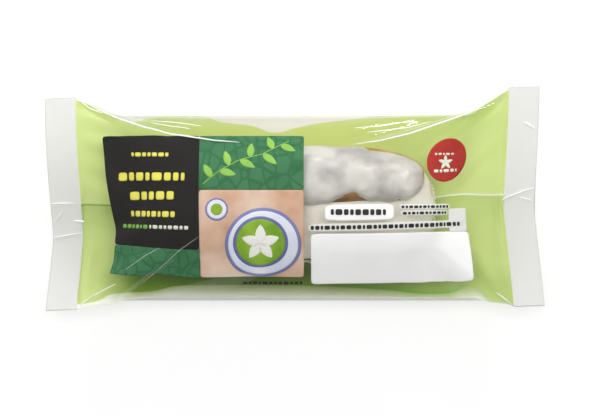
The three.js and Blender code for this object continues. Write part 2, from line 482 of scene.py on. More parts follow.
def held_place(u, v):
    """The place to which a vertex is held, or None where the film is free."""
    if abs(u) > SEAL_START - 0.01:
        return seal_place(u, v)
    if abs(abs(v) - SIDE) < STEP / 2 and abs(u) <= HELD_SIDE:
        return side_place(u, v)
    if abs(u) <= HELD_UNDER[0] and 2 * SIDE - abs(v) <= HELD_UNDER[1]:
        return under_place(u, v)
    return None


# %% From web to tube
ALONG = int(WEB["length"] / STEP)
ROUND = int(WEB["girth"] / STEP)
TUBE_LIFT = 17
tube_radius = STEP / (2 * math.sin(math.pi / ROUND))


def web_grid(along, around):
    """A flat grid of the web, rolled up and welded to a tube. Its layer web keeps u and v."""
    web = bmesh.new()
    bmesh.ops.create_grid(web, x_segments=along, y_segments=around, size=0.5)
    layer = web.verts.layers.float_vector.new("web")
    for vert in web.verts:
        vert[layer] = (vert.co.x * WEB["length"], vert.co.y * WEB["girth"], 0)
        turn = 2 * math.pi * vert.co.y
        vert.co = Vector((vert.co.x * WEB["length"], tube_radius * math.sin(turn),
            tube_radius * math.cos(turn)))
    edge = [v for v in web.verts if abs(v[layer][1]) > 2 * SIDE - 0.01]
    bmesh.ops.remove_doubles(web, verts=edge, dist=0.01)
    return web, layer


web, layer = web_grid(ALONG, ROUND)
places = [tuple(v[layer])[:2] for v in web.verts]
held = []
goals = []
for vert, (u, v) in zip(web.verts, places):
    vert.co += Vector((*BODY_MIDDLE, TUBE_LIFT))
    goal = held_place(u, v)
    if goal:
        held.append(vert.index)
        goal = (goal[0] + BODY_MIDDLE[0], goal[1] + BODY_MIDDLE[1], goal[2])
    goals.append(Vector(goal or vert.co) * MM)
    vert.co *= MM
mesh = bpy.data.meshes.new("web")
web.to_mesh(mesh)
web.free()
blown = bpy.data.objects.new("web", mesh)
scene.collection.objects.link(blown)
blown.shape_key_add(name="tube")
closed = blown.shape_key_add(name="closed")
for point, goal in zip(closed.data, goals):
    point.co = goal
blown.vertex_groups.new(name="held").add(held, 1, "REPLACE")
print("web:", len(mesh.vertices), "vertices,", len(held), "held")

# %% Gas and contents
CLOSING = 20                 # frames in which the ends are pressed shut
SETTLING = 16
HULL = {"length": 118, "width": 48, "height": 30.5, "blunt": 6, "square": 2.6}
HULL_MIDDLE = (0.3, -2.2, 16.2)
hull = loaf(HULL, 48, 32)
put(hull, 0, HULL_MIDDLE)
stand_in = finished("hull", hull, tray_ivory)
stand_in.modifiers.new("Collision", "COLLISION")
stand_in.collision.thickness_outer = 0.8 * MM
stand_in.collision.thickness_inner = 3 * MM
stand_in.collision.cloth_friction = 1

cloth = blown.modifiers.new("Cloth", "CLOTH")
cloth.settings.vertex_group_mass = "held"
cloth.settings.quality = 6
# How stiff each kind of spring is, and how much it is damped.
SPRINGS = {"tension": (300, 10), "compression": (100, 10), "shear": (60, 10), "bending": (0.001, 0.1)}
for spring, (stiffness, damping) in SPRINGS.items():
    setattr(cloth.settings, spring + "_stiffness", stiffness)
    setattr(cloth.settings, spring + "_damping", damping)
cloth.settings.use_pressure = True
cloth.settings.uniform_pressure_force = 600
cloth.settings.effector_weights.gravity = 0
cloth.collision_settings.distance_min = 0.6 * MM
cloth.point_cache.frame_end = CLOSING + SETTLING
closed.value = 0
closed.keyframe_insert("value", frame=1)
closed.value = 1
closed.keyframe_insert("value", frame=CLOSING)
for moment in range(1, CLOSING + SETTLING + 1):
    scene.frame_set(moment)
evaluated = blown.evaluated_get(bpy.context.evaluated_depsgraph_get())
settled = np.array([tuple(v.co) for v in evaluated.data.vertices])
bpy.data.objects.remove(blown)
bpy.data.objects.remove(stand_in)
scene.frame_set(1)
settled[:, 2] = np.maximum(settled[:, 2], UNDERSIDE * MM)      # the table is flat
print("film, mm:", (np.ptp(settled, axis=0) / MM).round(1))

# %% [markdown]
# ## A smooth skin
# The simulated web is coarse. Its vertices lie on a regular grid of u and v, so any point of the
# film can be found between them with a cubic curve each way. Everything that lies on the film,
# such as the print, uses the same function, and so it follows every crease.

# %% Any point of the film
columns = np.zeros((ALONG + 1, ROUND, 3))
for place, point in zip(places, settled):
    i = round(place[0] / STEP + ALONG / 2)
    j = round(place[1] / STEP + ROUND / 2) % ROUND
    columns[i, j] = point
SEAL_ROWS = WEB["seal"] // STEP + 1
free = slice(SEAL_ROWS, ALONG + 1 - SEAL_ROWS)
for axis in (1, 0):          # takes out the zigzag of single vertices, but keeps the seals sharp
    before, after = np.roll(columns, 1, axis), np.roll(columns, -1, axis)
    columns[free] = ((before + 2 * columns + after) / 4)[free]
print("rows and columns of the web:", columns.shape[:2])


def cubic_weights(t):
    """The four weights of a Catmull-Rom curve at t."""
    return np.stack([-t + 2 * t**2 - t**3, 2 - 5 * t**2 + 3 * t**3, t + 4 * t**2 - 3 * t**3,
        -t**2 + t**3]) / 2


def on_web(u, v):
    """Points of the blown-up web in metres, from arrays of u and v in millimetres."""
    a = np.clip(u / STEP + ALONG / 2, 0, ALONG)
    b = v / STEP + ROUND / 2
    i = np.minimum(np.floor(a).astype(int), ALONG - 1)
    j = np.floor(b).astype(int)
    along, around = cubic_weights(a - i), cubic_weights(b - j)
    total = 0
    for k in range(4):
        rows = np.clip(i + k - 1, 0, ALONG)
        for m in range(4):
            total = total + (along[k] * around[m])[:, None] * columns[rows, (j + m - 1) % ROUND]
    return total


# %% Sharp creases
# How far each crease's crest stands out, how wide it is, how wide the painted highlight line along it is,
# and its line of places on the web.
CREASES = [
    (0.5, 1.6, 0.8, [(-89, 43.2), (-82.5, 41.5), (-78, 38.7), (-72.2, 35.5), (-60, 30.9), (-47.2, 27.8),
        (-31, 25), (-21, 24.2)]),
    (0.5, 1.6, 0.8, [(89, 43), (85, 42.3), (80, 40.5), (71.2, 34.7), (57.5, 30.5), (46.5, 26.7),
        (34.5, 24), (23.5, 23.3)]),
    (0.0, 1.0, 0.5, [(-57.5, 37.8), (-50, 36.2), (-46, 35.2), (-35.8, 32.5)]),
    (0.0, 1.0, 0.5, [(-57.5, 35.3), (-50.8, 33.8), (-40.5, 31)]),
    (0.0, 1.0, 0.45, [(24, 32.1), (34.2, 33.6), (42.2, 36), (48.5, 38.5)]),
    (0.0, 1.0, 0.5, [(29, 30.2), (39.2, 32.6), (45.8, 34.1), (55.5, 38)]),
    (0.35, 1.3, 0.45, [(-89, -43.5), (-85.2, -40.7), (-76.2, -35.6), (-71, -33)]),
    (0.35, 1.4, 0.5, [(88, -43.3), (85, -40.9), (81, -38.2)]),
    (0.45, 0.9, 0.75, [(-101, 0.4), (-91, 0)]),
    (0.35, 0.9, 0.6, [(-100.5, -7.6), (-97.8, -4.6), (-95, -1)]),
    (0.35, 1.2, 1.2, [(-92.4, -7), (-87.6, -7.6)]),
    (0.45, 0.9, 0.75, [(-101, -13.6), (-89, -12)]),
    (0.4, 0.9, 0.7, [(86.2, -2.6), (89.5, -0.6), (96.2, 1.9), (101, 3.2)]),
    (0.3, 0.9, 0.5, [(94.5, -0.4), (101, -2)]),
    (0.3, 1.1, 1.0, [(94.8, 29.8), (99.6, 27)]),
]
SOFT_CREASES = [             # the two that cross the printed panels get only faint painted highlights
    (0.12, 1.1, 0.4, [(-61.5, -36.8), (-57, -31.8), (-51, -25.5), (-44.5, -19.3), (-36.5, -13.8)]),
    (0.08, 1.6, 0.4, [(-68.2, -28), (-63, -24.4), (-59, -21.6), (-52.5, -18.3)]),
]
print(len(CREASES + SOFT_CREASES), "creases")


def crest(u, v):
    """How far the creases lift each place of the web, in millimetres."""
    place = np.stack([u, v], 1)
    lift = np.zeros(len(u))
    for height, width, _, line in CREASES + SOFT_CREASES:
        line = np.array(line, float)
        nearest = np.full(len(u), 1e9)
        share = np.zeros(len(u))
        for k in range(len(line) - 1):
            run = line[k + 1] - line[k]
            t = np.clip((place - line[k]) @ run / (run @ run), 0, 1)
            distance = np.linalg.norm(place - line[k] - t[:, None] * run, axis=1)
            share = np.where(distance < nearest, (k + t) / (len(line) - 1), share)
            nearest = np.minimum(nearest, distance)
        fade = np.sin(math.pi * np.clip(share, 0.02, 0.98)) ** 0.5
        lift = np.maximum(lift, height * fade * np.clip(1 - nearest / width, 0, 1) ** 1.6)
    return lift


def on_film(u, v, lift=0):
    """Points of the creased film, lifted outwards off it, in metres."""
    near = 0.4
    run = on_web(u + near, v) - on_web(u - near, v)
    girth = on_web(u, v + near) - on_web(u, v - near)
    out = np.cross(run, girth)
    out /= np.linalg.norm(out, axis=1)[:, None]
    return on_web(u, v) + out * (crest(u, v) + lift)[:, None] * MM


def lay_on_film(work, layer, lift=0):
    """Moves each vertex to its own u and v on the film, and outwards by lift millimetres."""
    places = np.array([tuple(vert[layer])[:2] for vert in work.verts])
    for vert, point in zip(work.verts, on_film(places[:, 0], places[:, 1], lift)):
        vert.co = Vector(point)


# %% The film's mesh
FINE_ALONG, FINE_ROUND = 270, 236


def web_uv(work, layer):
    """Gives a mesh a UV map of its u and v. A face over the seam keeps v on one side."""
    uv = work.loops.layers.uv.new("web")
    for face in work.faces:
        over = {math.copysign(1, loop.vert[layer][1]) for loop in face.loops
            if abs(loop.vert[layer][1]) < 2 * SIDE - 0.01}
        for loop in face.loops:
            u, v, _ = loop.vert[layer]
            if abs(v) > 2 * SIDE - 0.01:
                v = math.copysign(v, over.pop() if len(over) == 1 else v)
                over = {math.copysign(1, v)}
            loop[uv].uv = (u / WEB["length"] + 0.5, v / WEB["girth"] + 0.5)


web, layer = web_grid(FINE_ALONG, FINE_ROUND)
lay_on_film(web, layer)
web_uv(web, layer)
bmesh.ops.holes_fill(web, edges=[e for e in web.edges if e.is_boundary], sides=0)
bmesh.ops.recalc_face_normals(web, faces=web.faces)

# %% [markdown]
# ## Clear film and its green print
# Real flow wrap is polypropylene film, about 0.04 mm thick. Clear film is almost nothing but
# gloss, so its material is a transparent shader, and a glossy one that Layer Weight mixes in
# where the film turns away. The green is printed on the back half of the tube. Its border shows
# as a wavy line along both sides, with a pale band beside it. Painted light makes the green
# brighter behind the eclair. Painted shade makes it deeper along the near side and darkens
# the near pale band towards the border. Along part of the near border, a deeper green is partly a
# second layer of film and partly painted shade. The weld of the long seam shows as a thin line
# down its middle. The ends are frosted by the hot sealing jaws. The film's UV map holds u and v,
# so all of this is drawn in millimetres of film.

# %% Film material
# The first number of each pair is u. The second is v for the weld, how far the green's border is
# from the middle of the front, and for the border line how strong its deeper green is. That green is partly a
# second layer of film and partly painted shade.
WELD = [(-101, 89.2), (30, 85.4), (60, 84.6), (87, 87.2), (101, 87.4)]
FAR_BORDER = [(-101, 45.5), (-78, 45.5), (-73, 49), (-66, 52), (-58, 49), (-46.5, 48), (-36.5, 48.8),
    (-29, 51.5), (-17.2, 53.2), (-12.8, 54.8), (-7.2, 56.2), (-1.2, 54.8), (10.8, 52), (23.8, 50.2),
    (31.5, 48.5), (42, 45.5), (101, 45.5)]
NEAR_BORDER = [(-101, 46.5), (-83, 46.8), (-78.5, 48), (-73.8, 50.5), (-68.2, 51.8), (-57, 52.8),
    (-46.8, 55.8), (-37.8, 56.2), (2.8, 56), (35, 53.8), (60.8, 50.8), (68.8, 52.4), (72.8, 52.4),
    (76.5, 49.8), (81.2, 46.3), (101, 46)]
# A deeper green along part of the near border: partly a second layer of film, partly painted shade.
BORDER_LAYER_AND_SHADE = [(-101, 0), (0, 0), (30, 0.6), (64, 0.6), (74, 0), (101, 0)]
BORDER_LAYER_AND_SHADE_WIDTH = (0.6, 3.2)      # from the border, where that deeper green starts to fade and is gone
# Painted shade: a deeper green along the near side.
PAINTED_SHADE_NEAR = {"start": (-80, -62), "end": (-10, 76), "least": 0.3, "past": (8, 16)}    # along the near side
# Painted light: a brighter green behind the eclair.
PAINTED_LIGHT_FAR = {"end": (50, 75), "past": (8, 24)}      # behind the eclair
# Painted shade: the near pale band darkens from its own pale tint towards the border.
PALE_BAND_SHADE = (-7.5, 0.5)      # the near pale band turns greener towards the border
SOFT = 0.3                   # half the width over which a border goes from one colour to the other
WELD_WIDTH = (0.15, 0.5)     # from the weld's middle, where its line starts to fade and is gone


def web_shares(tree):
    """How far along the web a place is and how far round it, each from 0 to 1."""
    place = add(tree, "ShaderNodeUVMap", uv_map="web").outputs[0]
    return add(tree, "ShaderNodeSeparateXYZ", {0: place}).outputs[:2]


def along_web(tree, u_share, points, low, high):
    """A measure from low to high that changes along the web, through pairs of u and value."""
    node = add(tree, "ShaderNodeFloatCurve", {"Value": u_share})
    line = node.mapping.curves[0]
    spots = [((place + WEB["length"] / 2) / WEB["length"], (value - low) / (high - low))
        for place, value in points]
    line.points[0].location, line.points[1].location = spots[0], spots[-1]
    for spot in spots[1:-1]:
        line.points.new(*spot)
    node.mapping.update()
    return add(tree, "ShaderNodeMath", {0: node.outputs[0], 1: high - low, 2: low},
        operation="MULTIPLY_ADD").outputs[0]


clear_film, tree, output = new_material("printed_polypropylene_film")
u_share, v_share = web_shares(tree)
u_mm = add(tree, "ShaderNodeMath", {0: u_share, 1: WEB["length"], 2: -WEB["length"] / 2},
    operation="MULTIPLY_ADD").outputs[0]
v_mm = add(tree, "ShaderNodeMath", {0: v_share, 1: WEB["girth"], 2: -WEB["girth"] / 2},
    operation="MULTIPLY_ADD").outputs[0]
from_middle = add(tree, "ShaderNodeMath", {0: u_mm}, operation="ABSOLUTE").outputs[0]
from_front = add(tree, "ShaderNodeMath", {0: v_mm}, operation="ABSOLUTE").outputs[0]
minus_v = add(tree, "ShaderNodeMath", {0: v_mm, 1: -1.0}, operation="MULTIPLY").outputs[0]
past_far = add(tree, "ShaderNodeMath", {0: v_mm, 1: along_web(tree, u_share, FAR_BORDER, 40, 60)},
    operation="SUBTRACT").outputs[0]
past_near = add(tree, "ShaderNodeMath", {0: minus_v, 1: along_web(tree, u_share, NEAR_BORDER, 40, 60)},
    operation="SUBTRACT").outputs[0]
past = add(tree, "ShaderNodeMath", {0: past_far, 1: past_near}, operation="MAXIMUM").outputs[0]

# Round the back v goes on from the far half, so that the seam doesn't break the weld's line.
near_half = add(tree, "ShaderNodeMath", {0: v_mm, 1: 0.0}, operation="LESS_THAN").outputs[0]
round_v = add(tree, "ShaderNodeMath", {0: near_half, 1: WEB["girth"], 2: v_mm},
    operation="MULTIPLY_ADD").outputs[0]
off_weld = add(tree, "ShaderNodeMath", {0: round_v, 1: along_web(tree, u_share, WELD, 80, 92)},
    operation="SUBTRACT").outputs[0]
off_weld = add(tree, "ShaderNodeMath", {0: off_weld}, operation="ABSOLUTE").outputs[0]

# Each share: the measure that it follows, where on it the share starts to change and is done,
# and its value before and after.
SHARES = {
    "printed": (past, -SOFT, SOFT, 0, 1),
    "on_far": (past_far, -SOFT, SOFT, 0, 1),
    "on_near": (past_near, -SOFT, SOFT, 0, 1),
    "on_back": (from_front, SIDE - 0.2, SIDE + 0.2, 0, 1),
    "sealed": (from_middle, SEAL_START - 0.4, SEAL_START + 0.2, 0, 1),
    "not_sealed": (from_middle, SEAL_START - 0.4, SEAL_START + 0.2, 1, 0),
    "bright_past": (past_far, *PAINTED_LIGHT_FAR["past"], 1, 0),
    "bright_end": (from_middle, *PAINTED_LIGHT_FAR["end"], 1, 0),
    "deep_start": (u_mm, *PAINTED_SHADE_NEAR["start"], 0, 1),
    "deep_end": (u_mm, *PAINTED_SHADE_NEAR["end"], 1, PAINTED_SHADE_NEAR["least"]),
    "deep_past": (past_near, *PAINTED_SHADE_NEAR["past"], 1, 0),
    "by_border_layer_and_shade": (past_near, *BORDER_LAYER_AND_SHADE_WIDTH, 1, 0),
    "shade_to_border": (past_near, *PALE_BAND_SHADE, 0, 1),
    "at_weld": (off_weld, *WELD_WIDTH, 1, 0),
}
share = {"border_line": along_web(tree, u_share, BORDER_LAYER_AND_SHADE, 0, 1)}
for name, (measure, start, end, before, after) in SHARES.items():
    share[name] = add(tree, "ShaderNodeMapRange", {"Value": measure, "From Min": start, "From Max": end,
        "To Min": before, "To Max": after}).outputs[0]
# Among these products are the painted light behind the eclair, the painted shade along the near side and on the
# near pale band, and the border green, partly a second layer of film and partly painted shade.
PRODUCTS = {"bright": ("bright_past", "bright_end", "on_far"), "near_pale_and_shade": ("shade_to_border", "deep_start"),
    "deep": ("deep_start", "deep_end", "deep_past", "on_near"),
    "border": ("border_line", "by_border_layer_and_shade", "on_near"), "green": ("on_back", "not_sealed")}
for name, (first, *others) in PRODUCTS.items():
    share[name] = share[first]
    for other in others:
        share[name] = add(tree, "ShaderNodeMath", {0: share[name], 1: share[other]},
            operation="MULTIPLY").outputs[0]

# Bare film: all gloss, with hardly any bumps.
spot = add(tree, "ShaderNodeTexCoord").outputs["Object"]
crinkles = add(tree, "ShaderNodeTexNoise", {"Vector": spot, "Scale": 160, "Detail": 3})
relief = add(tree, "ShaderNodeBump", {"Height": crinkles.outputs[0], "Strength": 0.06,
    "Distance": 0.0006}).outputs[0]
clear = add(tree, "ShaderNodeBsdfTransparent")
gloss = add(tree, "ShaderNodeBsdfGlossy", {"Color": linear("#ffffff"), "Roughness": 0.09, "Normal": relief})
edge_on = add(tree, "ShaderNodeLayerWeight", {"Blend": 0.5, "Normal": relief})
steep = add(tree, "ShaderNodeMath", {0: edge_on.outputs["Facing"], 1: 4.0}, operation="POWER")
mirrored = add(tree, "ShaderNodeMath", {0: steep.outputs[0], 1: 0.9, 2: 0.04}, operation="MULTIPLY_ADD")
bare_film = add(tree, "ShaderNodeMixShader", {0: mirrored.outputs[0], 1: clear.outputs[0],
    2: gloss.outputs[0]})

# Green ink: a mottled ground, then over it the brighter green of painted light behind the eclair,
# the deeper green of painted shade along the near side, and the border green, partly a second
# layer of film and partly painted shade. Then come the pale band, darkened by painted shade towards the
# border, and the weld's line.
mottle = add(tree, "ShaderNodeTexNoise", {"Vector": spot, "Scale": 45, "Detail": 2})
ground = add(tree, "ShaderNodeValToRGB", {"Fac": mottle.outputs[0]}, [("#c4da76", 0), ("#d6e694", 1)])
pale_band_and_shade = add(tree, "ShaderNodeValToRGB", {"Fac": share["near_pale_and_shade"]}, [("#f7f8ee", 0), ("#a9bd72", 1)])
weld_line = add(tree, "ShaderNodeValToRGB", {"Fac": u_share}, [("#8fb548", 0.3), ("#f6f9ea", 0.7)])
green = ground.outputs[0]
for name, code in (("bright", "#d3e781"), ("deep", "#6f9426"), ("border", "#5fa83a")):
    green = add(tree, "ShaderNodeMix", {"Factor": share[name], 6: green, 7: linear(code)},
        data_type="RGBA").outputs[2]
green = add(tree, "ShaderNodeMix", {"Factor": share["printed"], 6: pale_band_and_shade.outputs[0], 7: green},
    data_type="RGBA").outputs[2]
green = add(tree, "ShaderNodeMix", {"Factor": share["at_weld"], 6: green, 7: weld_line.outputs[0]},
    data_type="RGBA").outputs[2]

# Ink and frost are lit from in front and from behind, as thin plastic is.
INK_FROM_BEHIND = 0.32
FROST_FROM_BEHIND = 0.5
ink_in_front = add(tree, "ShaderNodeBsdfPrincipled", {"Base Color": green, "Roughness": 0.35, "Alpha": 0.96})
ink_behind = add(tree, "ShaderNodeBsdfTranslucent", {"Color": green})
green_ink = add(tree, "ShaderNodeMixShader", {0: INK_FROM_BEHIND, 1: ink_in_front.outputs[0],
    2: ink_behind.outputs[0]})
frost_in_front = add(tree, "ShaderNodeBsdfPrincipled", {"Base Color": linear("#e1e0de"), "Roughness": 0.3,
    "Alpha": 0.85, "Normal": relief})
frost_behind = add(tree, "ShaderNodeBsdfTranslucent", {"Color": linear("#fafaf9")})
frost = add(tree, "ShaderNodeMixShader", {0: FROST_FROM_BEHIND, 1: frost_in_front.outputs[0],
    2: frost_behind.outputs[0]})
between_seals = add(tree, "ShaderNodeMixShader", {0: share["green"], 1: bare_film.outputs[0],
    2: green_ink.outputs[0]})
surface = add(tree, "ShaderNodeMixShader", {0: share["sealed"], 1: between_seals.outputs[0],
    2: frost.outputs[0]})
tree.links.new(surface.outputs[0], output.inputs["Surface"])
film = finished("film", web, clear_film)

# %% [markdown]
# ## Print on the inside of the film
# Film is printed in reverse on its inner face, one ink over the other, so that the gloss lies
# over the picture. Each ink here is its own thin sheet just under the film. It starts as a grid,
# takes its outline in millimetres of film, and is then laid on the film by the same function
# that made the film, so it bends with every crease.

# %% Laying a shape on the film
INK = 0.03                   # millimetres, thick enough to keep apart
LAYER = 0.09                 # between one ink and the next
INK_STEP = 0.6               # between the vertices of an ink
print_pieces = []


def blunted(x, y, power):
    """Moves a place of the square -1..1 into a superellipse. A power of 2 makes it a circle."""
    out = max(abs(x), abs(y))
    if out < 1e-6:
        return 0, 0
    reach = (abs(x / out) ** power + abs(y / out) ** power) ** (1 / power)
    return x / reach, y / reach


class Ink:
    """One ink: shapes in the same colour at the same depth under the film."""

    def __init__(self, name, depth, material):
        self.name, self.depth, self.material = name, depth, material
        self.work = bmesh.new()
        self.web = self.work.verts.layers.float_vector.new("web")

    def shape(self, size, outline):
        """Adds a grid of about size millimetres. outline turns its -1..1 places into u, v."""
        counts = [max(2, round(side / INK_STEP)) for side in size]
        made = bmesh.ops.create_grid(self.work, x_segments=counts[0], y_segments=counts[1], size=1)
        for vert in made["verts"]:
            vert[self.web] = (*outline(vert.co.x, vert.co.y), 0)

    def rounded(self, middle, size, power, turn=0, slant=0):
        """A rectangle with rounded corners, or an ellipse where power is 2."""
        c, s = math.cos(math.radians(turn)), math.sin(math.radians(turn))

        def outline(x, y):
            x, y = blunted(x, y, power)
            x, y = x * size[0] / 2 + slant * y * size[1] / 2, y * size[1] / 2
            return middle[0] + c * x - s * y, middle[1] + s * x + c * y

        self.shape(size, outline)

    def four_corners(self, corners, power=40, bow=0):
        """A panel between four corners: near left, near right, far right, far left. Its near
        edge bulges, by bow where that is most, two thirds of the way to the right."""
        a, b, c, d = (np.array(corner, float) for corner in corners)

        def outline(x, y):
            x, y = blunted(x, y, power)
            s, t = (x + 1) / 2, (y + 1) / 2
            u, v = (a * (1 - s) + b * s) * (1 - t) + (d * (1 - s) + c * s) * t
            bulge = 27 / 4 * s**2 * (1 - s)
            return u, v - bow * bulge * (1 - t) ** 2

        self.shape((np.linalg.norm(b - a), np.linalg.norm(d - a)), outline)

    def leaf(self, root, length, width, turn):
        """A pointed leaf from its root."""
        c, s = math.cos(math.radians(turn)), math.sin(math.radians(turn))

        def outline(x, y):
            along = (x + 1) / 2 * length
            across = y * width / 2 * math.sin(math.pi * ((x + 1) / 2) ** 0.8) ** 0.8
            return root[0] + c * along - s * across, root[1] + s * along + c * across

        self.shape((length, width), outline)

    def stroke(self, way, width):
        """A line along a way of places, with a point at both ends."""
        way = np.array(way, float)
        runs = np.concatenate([[0], np.cumsum(np.linalg.norm(np.diff(way, axis=0), axis=1))])

        def outline(x, y):
            at = (x + 1) / 2 * runs[-1]
            stops = at, min(at + 0.5, runs[-1]), max(at - 0.5, 0)
            here, front, back = (np.array([np.interp(p, runs, way[:, k]) for k in (0, 1)]) for p in stops)
            side = np.array([back[1] - front[1], front[0] - back[0]])
            side /= np.linalg.norm(side)
            return tuple(here + side * y * width / 2 * max(1 - x * x, 0) ** 0.5)

        self.shape((runs[-1], width), outline)

    def lay(self):
        """Puts all shapes on the film and makes them one piece of the print."""
        lay_on_film(self.work, self.web, -self.depth * LAYER)
        web_uv(self.work, self.web)
        piece = finished(self.name, self.work, self.material)
        sheet = piece.modifiers.new("ink", "SOLIDIFY")
        sheet.thickness = INK * MM
        sheet.offset = -1
        print_pieces.append(piece)


def ink_material(name, dark, light, size=30):
    """Opaque printing ink: one flat colour, with the faint unevenness of the press."""
    material, tree, output = new_material(name)
    spot = add(tree, "ShaderNodeTexCoord").outputs["Object"]
    press = add(tree, "ShaderNodeTexNoise", {"Vector": spot, "Scale": size, "Detail": 3})
    tint = add(tree, "ShaderNodeValToRGB", {"Fac": press.outputs[0]}, [(dark, 0.3), (light, 0.7)])
    surface = add(tree, "ShaderNodeBsdfPrincipled", {"Base Color": tint.outputs[0], "Roughness": 0.5,
        "Specular IOR Level": 0.0})
    tree.links.new(surface.outputs[0], output.inputs["Surface"])
    return material


def plain_ink(name, depth, dark, light, size=30):
    """An ink of one colour."""
    return Ink(name, depth, ink_material(name, dark, light, size))


# %% Panel grounds
black = plain_ink("black_ink", 3, "#151310", "#1c1a17")
black.four_corners([(-72.8, -17.1), (-37.1, -20), (-37, 27.5), (-77.8, 26.9)])
black.lay()

# The overlapping leaves of the ground are Voronoi cells, dark at their edges.
LEAF_CELL = (5.0, 6.25)      # millimetres from one leaf of the ground to the next, along and round
leaf_ground, tree, output = new_material("dark_green_ink")
web_place = add(tree, "ShaderNodeUVMap", uv_map="web").outputs[0]
cells = add(tree, "ShaderNodeVectorMath", {0: web_place,
    1: (WEB["length"] / LEAF_CELL[0], WEB["girth"] / LEAF_CELL[1], 1)}, operation="MULTIPLY").outputs[0]
in_cells = {"Vector": cells, "Scale": 1.0, "Randomness": 0.9}
edge = add(tree, "ShaderNodeTexVoronoi", in_cells, feature="DISTANCE_TO_EDGE")
leaf = add(tree, "ShaderNodeValToRGB", {"Fac": edge.outputs["Distance"]}, [("#306a43", 0.03), ("#437e54", 0.1)])
unlike = add(tree, "ShaderNodeTexVoronoi", in_cells)
paler = add(tree, "ShaderNodeMapRange", {"Value": unlike.outputs["Color"], "To Min": 0.5})
shade = add(tree, "ShaderNodeMix", {"Factor": paler.outputs[0], 6: linear("#306a43"), 7: leaf.outputs[0]},
    data_type="RGBA")
surface = add(tree, "ShaderNodeBsdfPrincipled", {"Base Color": shade.outputs[2], "Roughness": 0.5,
    "Specular IOR Level": 0.0})
tree.links.new(surface.outputs[0], output.inputs["Surface"])
leaf_green = Ink("dark_green_ink", 3, leaf_ground)
leaf_green.four_corners([(-74.6, -29), (-37, -32.6), (-37.1, -20), (-72.8, -17.1)])
leaf_green.four_corners([(-37, 4.2), (4, 3.8), (4.2, 27.5), (-37, 27.5)])
leaf_green.lay()

picture = Ink("picture_ground", 3, ink_material("blurred_table_print", "#c08a62", "#e6d0bd", 50))
picture.four_corners([(-36.8, -32.2), (4, -33.8), (4, 3.8), (-37, 4.2)])
picture.lay()

# %% A bowl of green cream
# A generic picture in the colours of such packs: a saucer and a bowl seen from straight above.
PLATE, BOWL, DISH = (-12, -18), (-13, -17.2), (-30, -3.5)
DISCS = [("lavender_ink", 2.6, "#6f74a4", "#8a90bd", [(PLATE, 30), (DISH, 9)]),
    ("plate_white_ink", 2.2, "#d5dbea", "#eceef4", [(PLATE, 27.4), (DISH, 7.6)]),
    ("bowl_ink", 1.8, "#5f6399", "#7b81b4", [(BOWL, 21.6)]),
    ("cream_green_ink", 1.4, "#6f9c22", "#9cc23e", [(BOWL, 19.2), (DISH, 4.6)])]
for name, depth, dark_tone, light_tone, discs in DISCS:
    disc_ink = plain_ink(name, depth, dark_tone, light_tone, 90)
    for middle, width in discs:
        disc_ink.rounded(middle, (width, width), 2)
    disc_ink.lay()
foam = plain_ink("foam_ink", 1, "#e6e8dc", "#f2f2ea", 60)
for petal in range(5):
    foam.leaf(BOWL, 7.6, 4.2, 90 + 72 * petal)
foam.lay()

# %% A sprig of leaves
# It climbs from the near left corner of the dark green field. Each leaf: root, length, turn.
SPRIG_STEM = [(-35.5, 6.5), (-29, 12), (-21, 16.5), (-12, 19), (-1.5, 25)]
SPRIG_LEAVES = [((-32, 9.3), 6.2, 120), ((-29, 12), 6.8, -15), ((-25.2, 14.2), 6.5, 105),
    ((-21, 16.5), 7, -30), ((-17, 17.6), 6.4, 85), ((-12, 19), 7.2, -40), ((-8, 21.2), 6, 110),
    ((-5, 23), 6.5, -25)]
sprig = plain_ink("leaf_green_ink", 1.8, "#86ba4c", "#9ccb62", 80)
for root, length, turn in SPRIG_LEAVES:
    sprig.leaf(root, length, 3, turn)
for a, b in zip(SPRIG_STEM, SPRIG_STEM[1:]):
    middle = ((a[0] + b[0]) / 2, (a[1] + b[1]) / 2)
    run = math.dist(a, b)
    sprig.rounded(middle, (run + 0.2, 0.35), 8, math.degrees(math.atan2(b[1] - a[1], b[0] - a[0])))
sprig.lay()

# %% Emblem, label and lines
WORDS = (3.2, 2.1, 2.8, 1.6, 3.6, 2.4, 1.9, 3.0)


def line(ink, start, end, height, unit, gap):
    """A line of small print as a row of plain dashes, each as long as the next of WORDS."""
    start, end = np.array(start, float), np.array(end, float)
    length = np.linalg.norm(end - start)
    way = (end - start) / length
    turn = math.degrees(math.atan2(way[1], way[0]))
    place = 0
    k = int(abs(start[0]) + abs(start[1])) % len(WORDS)
    while place < length - 0.5:
        run = min(WORDS[k % len(WORDS)] * unit, length - place)
        ink.rounded(tuple(start + way * (place + run / 2)), (run, height), 5, turn)
        place += run + gap
        k += 1


red = plain_ink("red_ink", 3, "#b8322a", "#a52a22")
red.rounded((61.3, 15), (16.6, 18.6), 2, turn=-14, slant=0.1)
red.lay()

white = plain_ink("white_ink", 3, "#ffffff", "#f6f6f4")
white.four_corners([(7.0, -37.7), (71.9, -33.6), (70.5, -13.8), (6.6, -13.6)], 24, 1.8)
white.rounded((25.6, -5.3), (27, 6.4), 6)
white.lay()

yellow = plain_ink("yellow_ink", 2, "#e4dc55", "#ece66a")
line(yellow, (-64.5, 19.2), (-49.2, 18.9), 1.7, 0.7, 0.5)
line(yellow, (-70.6, 10.3), (-42.6, 9.6), 3.3, 1.15, 0.9)
line(yellow, (-65.8, 2.4), (-46.8, 2.2), 3.3, 1.15, 0.9)
line(yellow, (-66, -4.6), (-45.4, -5.3), 2.3, 0.75, 0.6)
yellow.lay()

